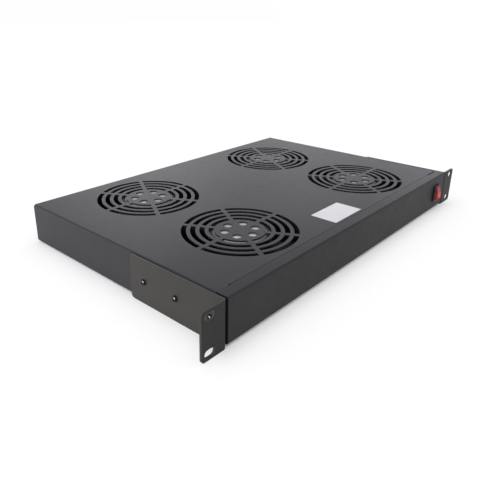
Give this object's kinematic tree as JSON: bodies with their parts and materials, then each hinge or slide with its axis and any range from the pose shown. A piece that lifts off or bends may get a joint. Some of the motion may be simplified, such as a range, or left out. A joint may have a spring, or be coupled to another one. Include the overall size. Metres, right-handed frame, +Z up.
{
  "type": "rack fan tray",
  "caption": "One rack unit high fan tray: folded black steel housing with stamped ring grilles over axial fans, side rack ears and a red rocker switch.",
  "frame": {"origin": "Centre of the four rack slots, on the back face of the ears, which seats on the rack rails.", "axes": "+X to the right seen from the front, along the 482.6 mm width; +Y to the rear, into the rack; +Z up, the one-unit height."},
  "size_m": [0.4826, 0.2954, 0.0445],
  "materials": {
    "black_powder_coat": "satin fine-texture powder coat",
    "cast_frame": "satin black paint on a casting",
    "silver_cap": "satin",
    "core_steel": "plain",
    "winding": "enamelled copper wire",
    "bright_steel": "nickel plated",
    "fan_plastic": "moulded",
    "switch_plastic": "moulded",
    "rocker_red": "gloss",
    "label_white": "printed film, left blank",
    "block_plastic": "moulded"
  },
  "bodies": {
    "chassis": {"top_cover": "black_powder_coat", "front_panel": "black_powder_coat", "rear_panel": "black_powder_coat", "base_plate": "black_powder_coat", "left_rack_ear": "black_powder_coat", "right_rack_ear": "black_powder_coat", "fan_frame_1": "cast_frame", "fan_motor_cap_1": "silver_cap", "fan_stator_1": "core_steel", "fan_coils_1": "winding", "fan_bearings_1": "bright_steel", "fan_frame_2": "cast_frame", "fan_motor_cap_2": "silver_cap", "fan_stator_2": "core_steel", "fan_coils_2": "winding", "fan_bearings_2": "bright_steel", "fan_frame_3": "cast_frame", "fan_motor_cap_3": "silver_cap", "fan_stator_3": "core_steel", "fan_coils_3": "winding", "fan_bearings_3": "bright_steel", "fan_frame_4": "cast_frame", "fan_motor_cap_4": "silver_cap", "fan_stator_4": "core_steel", "fan_coils_4": "winding", "fan_bearings_4": "bright_steel", "switch_housing": "switch_plastic", "switch_terminals": "bright_steel", "power_inlet": "switch_plastic", "inlet_pins": "bright_steel", "ear_screws": "bright_steel", "ear_washers": "bright_steel", "ear_nuts": "bright_steel", "fan_screws": "bright_steel", "base_screws": "bright_steel", "rear_cover_screws": "bright_steel", "inlet_screws": "bright_steel", "inlet_nuts": "bright_steel", "cover_label": "label_white", "terminal_block": "block_plastic", "terminal_screws": "bright_steel"},
    "rotor_1": {"fan_rotor_1": "fan_plastic", "fan_shaft_1": "bright_steel"},
    "rotor_2": {"fan_rotor_2": "fan_plastic", "fan_shaft_2": "bright_steel"},
    "rotor_3": {"fan_rotor_3": "fan_plastic", "fan_shaft_3": "bright_steel"},
    "rotor_4": {"fan_rotor_4": "fan_plastic", "fan_shaft_4": "bright_steel"},
    "rocker": {"switch_rocker": "rocker_red"}
  },
  "joints": [
    {"name": "rotor_1_spin", "type": "hinge", "parent": "chassis", "child": "rotor_1", "pos_m": [-0.1105, 0.0735, 0], "axis": [0, 0, 1], "continuous": true},
    {"name": "rotor_2_spin", "type": "hinge", "parent": "chassis", "child": "rotor_2", "pos_m": [0.1105, 0.0735, 0], "axis": [0, 0, 1], "continuous": true},
    {"name": "rotor_3_spin", "type": "hinge", "parent": "chassis", "child": "rotor_3", "pos_m": [-0.1105, 0.2103, 0], "axis": [0, 0, 1], "continuous": true},
    {"name": "rotor_4_spin", "type": "hinge", "parent": "chassis", "child": "rotor_4", "pos_m": [0.1105, 0.2103, 0], "axis": [0, 0, 1], "continuous": true},
    {"name": "rocker_tilt", "type": "hinge", "parent": "chassis", "child": "rocker", "pos_m": [0.188, 0.001, 0.0009], "axis": [1, 0, 0], "range_deg": [0, 22]}
  ]
}
